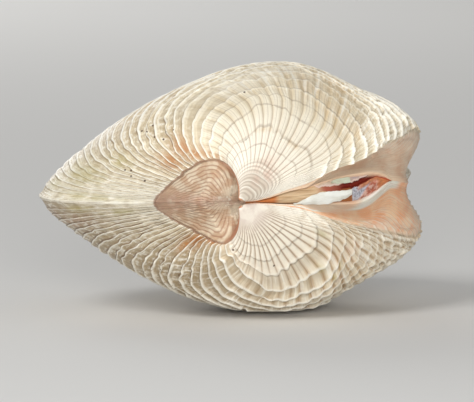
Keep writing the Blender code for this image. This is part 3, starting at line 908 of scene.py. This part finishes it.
def with_ribs(f, m, side, colour):
    """The colour, with the ribs, their grooves and splits, and the riblets between the later ridges."""
    shown = ribs_show(f, m, side)
    # The rib number runs faster near the beak, so times the stage it is a true distance from the groove.
    from_groove = f.times(f.math("SUBTRACT", 0.5, m.from_middle), m.stage)
    groove = f.ramp(from_groove, GROOVE_WIDTH[side][0], GROOVE_WIDTH[side][1], 1.0, 0.0)
    colour = f.cover(colour, RIB_CREAM, f.ramp(m.from_middle, 0.40, 0.20), shown, 0.55)
    # Painted shade on the rounded flanks of each rib towards its grooves, strong on the left valve.
    colour = f.cover(colour, RIB_FLANK_SHADE, f.ramp(m.from_middle, 0.25, 0.50), shown, RIB_FLANK_SHADE_STRENGTH[side])
    colour = f.cover(colour, GROOVE_BROWN, groove, shown, GROOVE_STRENGTH[side])
    if side == "right":
        from_split = f.times(f.math("ABSOLUTE", f.math("SUBTRACT", m.from_middle, 0.22)), m.stage)
        splits = f.times(f.ramp(from_split, 0.003, 0.014, 1.0, 0.0), f.ramp(m.stage, 0.22, 0.32), 0.50)
        colour = f.cover(colour, DIRT, splits, shown)
        halves = f.ramp(f.times(m.from_middle, m.stage), 0.003, 0.012, 1.0, 0.0)
        colour = f.cover(colour, DIRT, halves, f.ramp(m.stage, 0.11, 0.18), 0.32, shown)
        later = f.times(m.on_ribs, f.ramp(m.stage, 0.22, 0.34), f.ramp(m.place, 0.20, 0.35))
    else:
        later = f.times(m.on_ribs, f.ramp(m.stage, 0.17, 0.21), f.ramp(m.place, 0.0, 0.12))
        shaded = f.times(later, f.band(m.ridge, 0.03, 0.10, 0.35, 0.80), f.ramp(m.place, 0.80, 0.60))
        colour = f.cover(colour, RIDGE_SHADE, shaded, 0.30)
    riblets = f.streaks(f.times(m.rib_number, 3.4), f.times(m.stage, 9.0), 2.0)
    colour = f.cover(colour, RIBLET_BROWN, f.ramp(riblets, 0.48, 0.34), later, 0.40)
    return f.cover(colour, IVORY, f.ramp(riblets, 0.54, 0.66), later, 0.55)


# %% [markdown]
# Ridges come last on the ribbed part. The foot of each is darker, on the left valve as painted shadow under the crest,
# and its crest is ivory with a painted highlight. Near the beaks the ridges are only fine arcs, and beside the lunule
# rust has settled between the crests.

# %% Ridges of the valves
WORN_TOP = srgb(250, 244, 230)
STREAK_BROWN = srgb(160, 136, 100)
ARC_BROWN = srgb(160, 138, 116)
OLIVE_STAIN = srgb(184, 172, 104)
RUST_STAIN = srgb(184, 122, 62)
FOOT_DARKENING = {"right": (0.75, srgb(146, 122, 94)), "left": (1.0, srgb(118, 94, 66))}
EARLY_CREST_HIGHLIGHT = {"right": 0.5, "left": 0.1}
ARCS_PER_STAGE = 115.0


def with_ridges(f, m, side, colour):
    """The colour, with the dirt lines, the darker feet, the crests of the ridges with their painted highlight, and the
    stains over them.
    """
    worn_top = f.times(f.ramp(m.place, 0.72, 0.92), f.band(m.stage, 0.03, 0.06, 0.20, 0.32))
    colour = f.cover(colour, WORN_TOP, worn_top, f.ramp(m.patchy, 0.32, 0.55), 0.75)
    colour = f.cover(colour, DIRT, m.lines, 0.18)
    streaky = f.streaks(f.times(m.place, 70.0), f.times(m.ridge_number, 2.2))
    colour = f.cover(colour, STREAK_BROWN, f.ramp(streaky, 0.50, 0.34), f.ramp(m.stage, 0.3, 0.5), 0.42)
    colour = f.cover(colour, IVORY, f.ramp(streaky, 0.52, 0.66), f.ramp(m.stage, 0.3, 0.5), 0.60)
    # The foot of each ridge is darker; on the left valve it is painted shadow under the overhanging crest, and
    # stronger.
    foot_strength, foot_colour = FOOT_DARKENING[side]
    foot = f.times(m.foot, f.math("MAXIMUM", f.times(m.strong, foot_strength), 0.40), f.ramp(m.stage, 0.06, 0.12))
    foot = f.times(foot, f.math("MAXIMUM", f.ramp(m.place, 0.88, 0.78), f.ramp(m.stage, 0.19, 0.27)))
    colour = f.cover(colour, foot_colour, foot, f.ramp(m.patchy, 0.2, 0.6))
    if side == "right":
        grown = f.stored("grown")
        arcs = f.math("FRACT", f.times(grown, ARCS_PER_STAGE))
        near_beak = f.band(grown, 0.014, 0.022, 0.085, 0.11)
        arcs = f.times(f.ramp(arcs, 0.25, 0.5), f.ramp(arcs, 0.70, 0.95, 1.0, 0.0), near_beak)
        colour = f.cover(colour, ARC_BROWN, arcs, m.on_ribs, 0.45)
    # Painted highlight: the ivory crest of each ridge, where the thin lamella catches the light.
    early = f.times(f.ramp(m.stage, 0.10, 0.06), EARLY_CREST_HIGHLIGHT[side])
    crest = f.times(m.crest, m.on_ribs, f.math("MAXIMUM", m.strong, early), f.ramp(m.fine, 0.2, 0.45))
    colour = f.cover(colour, IVORY, crest, 0.9)
    colour = f.cover(colour, OLIVE_STAIN, f.stored("olive"), f.ramp(m.patchy, 0.3, 0.55), 0.5)
    rusty = f.times(f.stored("rust"), f.ramp(m.fine, 0.25, 0.5), f.ramp(m.ridge, 0.86, 0.70))
    return f.cover(colour, RUST_STAIN, rusty, 0.85)


# %% [markdown]
# The lunule is a beige heart with wavy brown lines, rosy along the seam and redder under the beaks. The escutcheon is
# smooth and salmon to tan, paler along the lips of the slit, and under the left lip this paleness is partly painted
# light.

# %% Lunule and escutcheon
HEART = (srgb(205, 173, 141), srgb(229, 210, 182))
HEART_UNDER_BEAK = srgb(200, 122, 82)
HEART_SEAM = srgb(206, 154, 134)
HEART_LINE = srgb(160, 104, 76)
HEART_BEAD = srgb(252, 244, 224)
ESCUTCHEON = {
    "right": (srgb(232, 188, 152), srgb(244, 216, 186)),
    "left": (srgb(252, 184, 136), srgb(255, 212, 170)),
}
ESCUTCHEON_EDGE = srgb(244, 222, 198)
LEFT_LIP_PALE_AND_LIGHT = srgb(255, 228, 198)
LEFT_RIM = (srgb(240, 238, 220), srgb(255, 252, 242))
RIGHT_RIM = srgb(252, 222, 188)
COMBED = srgb(250, 232, 208)
ESCUTCHEON_FOOT_SHADOW = srgb(196, 136, 100)


def lunule_colour(f, m):
    """The heart's colour, and the mask of its lines."""
    wavy = f.math("FRACT", f.math("ADD", m.ridge_number, f.times(m.fine, 0.25)))
    line = f.times(f.ramp(wavy, 0.10, 0.30), f.ramp(wavy, 0.40, 0.62, 1.0, 0.0), f.stored("clear"))
    heart = f.mix(f.ramp(m.patchy, 0.40, 0.60), *HEART)
    heart = f.cover(heart, HEART_UNDER_BEAK, f.ramp(m.stage, 0.34, 0.10), f.ramp(m.place, -0.95, -0.5), 0.70)
    heart = f.cover(heart, HEART_SEAM, f.ramp(m.stage, 0.70, 0.94), f.ramp(m.fine, 0.25, 0.6), 0.45)
    heart = f.cover(heart, HEART_LINE, line, 0.58)
    beads = f.times(f.ramp(m.fine, 0.55, 0.68), f.band(m.place, -0.92, -0.75, -0.45, -0.20))
    return f.cover(heart, HEART_BEAD, beads, f.ramp(m.stage, 0.25, 0.45), 0.7), line


def escutcheon_colour(f, m, side):
    """The colour of the smooth area behind the beaks."""
    flat = f.mix(f.ramp(f.spots(3.0), 0.35, 0.65), *ESCUTCHEON[side])
    flat = f.cover(flat, ESCUTCHEON_EDGE, f.ramp(m.place, 1.40, 1.05), f.ramp(m.patchy, 0.3, 0.6), 0.7)
    off_plane = f.stored("off_plane")
    if side == "left":
        # Pale band under the left lip: partly its own pale colour, partly painted light where the upper valve shades
        # it.
        flat = f.cover(flat, LEFT_LIP_PALE_AND_LIGHT, f.ramp(m.place, 1.70, 1.92), 0.8)
        lengthwise = f.streaks(f.times(off_plane, 9.0), f.times(m.place, 9.0))
        rim = f.times(f.ramp(off_plane, 1.25, 0.85), f.band(m.place, 1.50, 1.58, 1.78, 1.84))
        flat = f.cover(flat, f.mix(f.ramp(lengthwise, 0.40, 0.62), *LEFT_RIM), rim, 0.9)
    else:
        flat = f.cover(flat, RIGHT_RIM, f.ramp(off_plane, 1.0, 0.6), f.ramp(m.place, 1.40, 1.55), 0.7)
    combed = f.streaks(f.times(m.place, 5.0), f.times(m.stage, 26.0))
    flat = f.cover(flat, COMBED, f.ramp(combed, 0.52, 0.66), 0.45)
    # Painted shadow below the ends of the ridges on the escutcheon.
    flat = f.cover(flat, ESCUTCHEON_FOOT_SHADOW, m.foot, 0.3)
    return f.cover(flat, IVORY, m.crest, f.ramp(m.place, 1.7, 1.2), 0.45)


# %% [markdown]
# The areas are put together by their place on the valve, then come the line around the lunule, the dark pits and the
# rust-brown inside. A fine grain in the bump takes the plastic look off the lime.

# %% Put the valves' finish together
LUNULE_BORDER = srgb(174, 108, 74)
PIT_BROWN = srgb(84, 60, 42)
INSIDE_BROWN = srgb(150, 66, 36)
GRAIN_DEPTH = 0.06


def valve_finish(side, pits):
    """The finish of one valve, with pits at these places."""
    f = Finish(side + "_valve_lime", VALVE_GLOSS)
    m = valve_masks(f)
    colour = with_ridges(f, m, side, with_ribs(f, m, side, ground_colour(f, m, side)))
    heart, line = lunule_colour(f, m)
    colour = f.cover(colour, heart, f.ramp(m.place, -0.02, 0.0, 1.0, 0.0))
    behind = f.ramp(f.math("ADD", m.place, f.times(m.patchy, 0.10)), 1.03, 1.12)
    colour = f.cover(colour, escutcheon_colour(f, m, side), behind)
    border = f.times(f.band(m.place, -0.022, -0.012, -0.001, 0.001), f.ramp(m.stage, 0.06, 0.12))
    colour = f.cover(colour, LUNULE_BORDER, border, 0.55)
    for centre in pits:
        colour = f.cover(colour, PIT_BROWN, f.near(centre, PIT_RADIUS))
    f.colour(f.cover(colour, INSIDE_BROWN, f.stored("inside")))
    grain = f.math("ADD", f.spots(0.35, 6.0), f.times(m.lines, 0.8))
    f.bump(f.math("SUBTRACT", grain, f.times(line, f.ramp(m.place, -0.02, 0.0, 0.5, 0.0))), GRAIN_DEPTH)
    return f.material


for side, (piece, pits) in valves.items():
    piece.data.materials.clear()
    piece.data.materials.append(valve_finish(side, pits))
    print(side, "valve: finish of", len(piece.data.materials[0].node_tree.nodes), "nodes,", len(pits), "pits")

# %% [markdown]
# Behind the beaks a tough, springy ligament once opened the shell. Here it is dried and torn: a brown band is
# left deep in the slit, and two pale flakes of it stand on the lips.

# %% Place in the slit
def slit_point(along, depth, height):
    """Points from their place along the hinge, their depth in the slit and their height off the plane."""
    line = HINGE_LINE_SLOPE * along + HINGE_LINE_BEND * np.maximum(along, 0) ** 2
    inwards = depth + line
    x = along * math.cos(turn) + inwards * math.sin(turn)
    y = -along * math.sin(turn) + inwards * math.cos(turn)
    return placed(warp(np.stack([x, y, height + 0 * x], axis=-1)))


def lips(along, depth):
    """How high the two walls of the slit stand at this depth."""
    walls = {side: HALF_GAP + slit_opening(along, depth, side) for side in ("right", "left")}
    return walls["right"], -walls["left"]


def tube(name, along, centre, half, angle, sink, numbers):
    """A closed band along the hinge. Centre and half are (depth, height) rows, sink is how far the front lies in."""
    depth = centre[0][:, None] - half[0][:, None] * np.cos(angle) + sink
    height = centre[1][:, None] + half[1][:, None] * np.sin(angle)
    points = slit_point(along[:, None] + 0 * depth, depth, height)
    ends = [np.repeat(points[i : i + 1].mean(axis=1, keepdims=True), len(angle), axis=1) for i in (0, -1)]
    piece = sheet_of_points(name, np.concatenate([ends[0], points, ends[1]]))
    for number, values in numbers.items():
        store(piece, number, np.concatenate([values[:1], values, values[-1:]]))
    close_skin(piece)
    return piece


# %% [markdown]
# The band fills the slit from lip to lip near the beaks and sinks deeper towards the hind end. A crack runs along it.
# Above the crack it is a shelf on the right valve, below it there are fibres, then a grainy part, then nodules.

# %% Ligament band
BAND_FROM = -9.0
BAND_TO = 11.6
BAND_ROWS = 130
BAND_SIDES = 120
BAND_HALF_DEPTH = 1.2
BAND_OVERLAP = 0.05
CRACK_DEPTH = 0.9
SHELF_RISE = 0.15
GRAIN_RELIEF = 0.10
NODULE_RELIEF = 0.45
BAND_DEPTH_AT = (-9.0, -5.0, 0.0, 3.0, 5.5, 7.5, 11.2)
BAND_DEPTH = (0.10, 0.12, 0.20, 0.40, 0.70, 0.90, 0.60)
# The crack's edges, as shares of the height from the middle (0) to a lip (1 or -1).
CRACK_AT = (-9.0, -0.7, 0.5, 1.4, 3.6, 5.7, 7.15, 8.6, 9.6, 11.2)
CRACK_TOP = (1.2, 1.10, 0.80, 0.52, 0.42, 0.42, 0.60, 0.74, 0.84, 0.90)
CRACK_BOTTOM = (-0.1, -0.16, 0.05, 0.12, 0.01, 0.04, 0.16, 0.38, 0.56, 0.10)

along = np.linspace(BAND_FROM, BAND_TO, BAND_ROWS)
top = np.interp(along, BAND_DEPTH_AT, BAND_DEPTH)
high, low = lips(along, top)
angle = np.linspace(0, 2 * math.pi, BAND_SIDES + 1)
share = np.sin(angle) + 0 * along[:, None]
edge = 0.05 * uneven(44, along * 2.5, 0 * along) + 0.03 * uneven(45, along * 6.0, 0 * along)
above = share - (np.interp(along, CRACK_AT, CRACK_TOP) + edge)[:, None]
below = (np.interp(along, CRACK_AT, CRACK_BOTTOM) + edge)[:, None] - share
way = along[:, None] + 0 * angle
in_crack = step_up(0.0, 0.10, -above) * step_up(0.0, 0.10, -below)
sink = CRACK_DEPTH * in_crack * step_up(3.0, 5.0, way) * (1 - step_up(9.8, 11.0, way))
sink -= SHELF_RISE * step_up(0.0, 0.15, above) * step_up(0.5, 1.5, way)
sink += 0.06 * uneven(41, share * 9, way * 0.5) + 0.04 * uneven(42, share * 5, way * 1.5)
grains = step_up(5.8, 6.2, way) * (1 - step_up(7.6, 8.2, way)) * step_up(0.0, 0.1, below)
sink += GRAIN_RELIEF * grains * uneven(46, share * 12, way * 5)
nodules = step_up(6.8, 7.4, way) * step_up(-0.1, 0.1, below)
sink -= NODULE_RELIEF * nodules * np.maximum(uneven(43, share * 6, way * 2.4), 0)
sink[:, -1] = sink[:, 0]
centre = (top + BAND_HALF_DEPTH, (high + low) / 2)
half = (BAND_HALF_DEPTH + 0 * along, (high - low) / 2 + BAND_OVERLAP)
band_numbers = {"along": way, "share": share, "above": above, "below": below}
band = tube("ligament_band", along, centre, half, angle, sink, band_numbers)
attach(band, "root")
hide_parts("ligament")

# %% [markdown]
# A flake is a thin, curved sheet with a torn edge. It is a grid bent to its place, and Solidify gives it
# thickness.

# %% Torn flakes
FLAKE_COLUMNS = 80
FLAKE_ROWS = 24
FLAKE_THICKNESS = 0.14


def flake(side, lower, upper, depth, bow, seed):
    """A torn sheet between its lower and upper edge, each given as (along, height) points in mm."""
    way = np.linspace(0, 1, FLAKE_COLUMNS + 1)
    edges = []
    for points in (lower, upper):
        at = np.interp(way, np.linspace(0, 1, len(points)), [p[0] for p in points])
        high = np.interp(way, np.linspace(0, 1, len(points)), [p[1] for p in points])
        edges.append((at, high))
    rise = np.linspace(0, 1, FLAKE_ROWS + 1)[:, None]
    torn = 0.10 * uneven(seed, way * 18, 0 * way) * (1 - rise)
    torn = torn + 0.05 * uneven(seed + 1, way * 26, 0 * way) * rise
    at = edges[0][0] * (1 - rise) + edges[1][0] * rise
    high = edges[0][1] * (1 - rise) + edges[1][1] * rise + torn
    deep = np.interp(way, (0, 1), depth) - bow * np.sin(math.pi * rise)
    deep = deep + 0.05 * uneven(seed + 2, way * 9, rise * 5)
    piece = sheet_of_points("torn_flake_" + side, slit_point(at, deep, high))
    only(piece)
    solidify = piece.modifiers.new("thickness", "SOLIDIFY")
    solidify.thickness = FLAKE_THICKNESS * MM
    solidify.offset = -1
    bpy.ops.object.modifier_apply(modifier=solidify.name)
    close_skin(piece)
    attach(piece, "root")
    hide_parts("ligament_flake_" + side)
    return piece


# Each flake: its lower and upper edge, its depth at both ends, its bow and its seed.
FLAKES = {
    "left": (
        [(-2.3, -0.80), (-1.0, -0.96), (0.5, -1.10), (2.5, -1.24),
         (3.0, -1.06), (4.2, -1.00), (5.2, -0.62), (6.0, -0.38)],
        [(-2.3, -0.72), (-1.1, -0.35), (0.1, 0.18), (1.4, 0.51),
         (3.0, 0.54), (3.9, 0.50), (4.9, 0.47), (6.0, 0.46)],
        (0.10, 0.35), 0.25, 51,
    ),
    "right": (
        [(3.1, 1.70), (3.6, 1.54), (4.6, 1.50), (5.8, 1.50)],
        [(3.1, 1.90), (3.5, 2.16), (4.5, 2.24), (5.7, 2.26)],
        (0.35, 0.5), 0.10, 61,
    ),
}
flakes = {side: flake(side, *measures) for side, measures in FLAKES.items()}

# %% [markdown]
# Dried ligament is brown to rust red and a little waxy; deep in the crack its dark red is partly painted shade, and
# behind the pale flake it carries the flake's painted shadow. The flakes are the pale, limy inner layer, white with a
# hint of green.

# %% Finish of the ligament band
TAN_FIBRES = (srgb(202, 168, 128), srgb(222, 194, 156))
FRONT_END = srgb(198, 118, 62)
DARK_FIBRES = srgb(140, 96, 60)
CRACK_FRONT = srgb(168, 88, 66)
CRACK_RED_AND_SHADE = srgb(126, 34, 14)
CRACK_HIND = srgb(184, 70, 30)
SHELF = (srgb(190, 164, 140), srgb(214, 192, 170))
SHELF_MAUVE = srgb(186, 168, 168)
SHELF_HIND = srgb(186, 134, 98)
SHELF_EDGE = srgb(226, 200, 186)
FLAKE_SHADOW_BROWN = srgb(152, 92, 46)
GRAINS = (srgb(150, 146, 154), srgb(196, 196, 204))
NODULES = (srgb(172, 96, 72), srgb(214, 172, 156))
NODULE_RIM = srgb(190, 124, 88)
HIND_END = srgb(196, 122, 76)
BAND_BUMP = 0.10


def band_finish():
    """The finish of the dried band: fibres, crack, shelf, grains and nodules."""
    f = Finish("ligament_dried", 0.5)
    along = f.stored("along")
    above = f.stored("above")
    below = f.stored("below")
    fibres = f.spots(0.35, 6.0, (12, 12, 1))
    cloudy = f.spots(0.9)
    tan = f.mix(f.ramp(fibres, 0.35, 0.65), *TAN_FIBRES)
    tan = f.mix(f.ramp(along, -4.0, -5.2), tan, FRONT_END)
    tan = f.mix(f.ramp(fibres, 0.46, 0.30, 0.0, 0.3), tan, DARK_FIBRES)

    crack = f.mix(f.ramp(along, 0.6, 2.4), tan, CRACK_FRONT)
    # Deep in the crack the red is dark: partly the dried ligament's red, partly painted shade.
    crack = f.mix(f.ramp(along, 3.8, 5.0), crack, CRACK_RED_AND_SHADE)
    crack = f.mix(f.ramp(along, 8.6, 10.0), crack, CRACK_HIND)

    shelf = f.mix(f.ramp(cloudy, 0.40, 0.60), *SHELF)
    shelf = f.cover(shelf, SHELF_MAUVE, f.ramp(along, 5.4, 6.0), f.ramp(cloudy, 0.3, 0.6))
    shelf = f.mix(f.ramp(along, 8.4, 9.4), shelf, SHELF_HIND)
    shelf = f.mix(f.band(above, 0.0, 0.05, 0.10, 0.2), shelf, SHELF_EDGE)

    # Painted shadow: behind the pale flake the fibres below the crack are dark orange-brown.
    lower = f.mix(f.ramp(along, 1.8, 3.0), tan, FLAKE_SHADOW_BROWN)
    grains = f.mix(f.ramp(f.spots(0.3), 0.38, 0.60), *GRAINS)
    lower = f.mix(f.ramp(along, 5.9, 6.1), lower, grains)
    nodules = f.mix(f.ramp(f.spots(0.7), 0.42, 0.62), *NODULES)
    # The grains end and the nodules begin along a slanting line across the band.
    slanting = f.math("ADD", f.times(f.stored("share"), 0.9), f.times(along, -0.5))
    lower = f.mix(f.ramp(slanting, -4.05, -4.30), lower, nodules)
    lower = f.cover(lower, NODULE_RIM, f.ramp(along, 6.4, 7.4), f.ramp(below, 0.42, 0.16))
    lower = f.mix(f.ramp(along, 9.2, 10.2), lower, HIND_END)

    colour = f.mix(f.ramp(above, -0.03, 0.03), crack, shelf)
    f.colour(f.mix(f.ramp(below, -0.03, 0.03), colour, lower))
    f.bump(f.math("ADD", fibres, f.times(f.spots(0.25), f.ramp(along, 5.8, 6.2))), BAND_BUMP)
    return f.material


band.data.materials.append(band_finish())
print("band: finish of", len(band.data.materials[0].node_tree.nodes), "nodes")

# %% [markdown]
# The flakes are a little glossier than the band. Their faint streaks run along the hinge, as the torn layers do, so
# the noise is stretched in X and Y and not in Z.

# %% Finish of the flakes
FLAKE_COLOURS = {
    "left": ("flake_white", srgb(240, 240, 232), srgb(222, 220, 208)),
    "right": ("flake_greenish", srgb(208, 214, 190), srgb(190, 184, 158)),
}
FLAKE_BUMP = 0.05


def flake_finish(name, pale, tint):
    """The finish of a torn flake, with streaks of the tint."""
    f = Finish(name, 0.38)
    streaks = f.spots(0.8, 5.0, (4, 4, 1))
    f.colour(f.mix(f.ramp(streaks, 0.40, 0.65), pale, tint))
    f.bump(f.spots(0.25, 5.0), FLAKE_BUMP)
    return f.material


for side, colours in FLAKE_COLOURS.items():
    flakes[side].data.materials.append(flake_finish(*colours))

# %% [markdown]
# A pale floor and soft lights: a large lamp above and to the front end's side gives the shadows under the ridges, one
# near the camera fills them, and a weak one behind keeps the far side from going dark.

# %% Floor and light
FLOOR_SIZE = 8.0
FLOOR_BELOW = 0.00005
FLOOR_COLOUR = srgb(226, 225, 222)
SURROUNDINGS = 0.30

bpy.ops.object.select_all(action="DESELECT")
bpy.ops.mesh.primitive_plane_add(size=FLOOR_SIZE, location=(0, 0, -FLOOR_BELOW))
floor = bpy.context.object
floor.name = "floor"
floor_finish = Finish("floor_paper", 0.9)
floor_finish.shader.inputs["Base Color"].default_value = FLOOR_COLOUR
floor.data.materials.append(floor_finish.material)

world = bpy.data.worlds.new("surroundings")
world.use_nodes = True
world.node_tree.nodes["Background"].inputs["Color"].default_value = (1, 1, 1, 1)
world.node_tree.nodes["Background"].inputs["Strength"].default_value = SURROUNDINGS
bpy.context.scene.world = world


def lamp(name, place, size, power):
    """A square soft light aimed at the shell, with its place and size in metres."""
    data = bpy.data.lights.new(name, "AREA")
    data.size = size
    data.energy = power
    obj = bpy.data.objects.new(name, data)
    obj.location = place
    obj.rotation_euler = (-obj.location).to_track_quat("-Z", "Y").to_euler()
    bpy.context.scene.collection.objects.link(obj)
    print(name, "of", power, "W")


lamp("key_light", (-0.30, -0.48, 0.52), 0.26, 2.1)
lamp("front_light", (0.05, -0.9, 0.16), 0.25, 4.8)
lamp("back_light", (-0.25, 0.85, 0.40), 0.45, 1.9)
bpy.context.scene.view_settings.view_transform = "Standard"
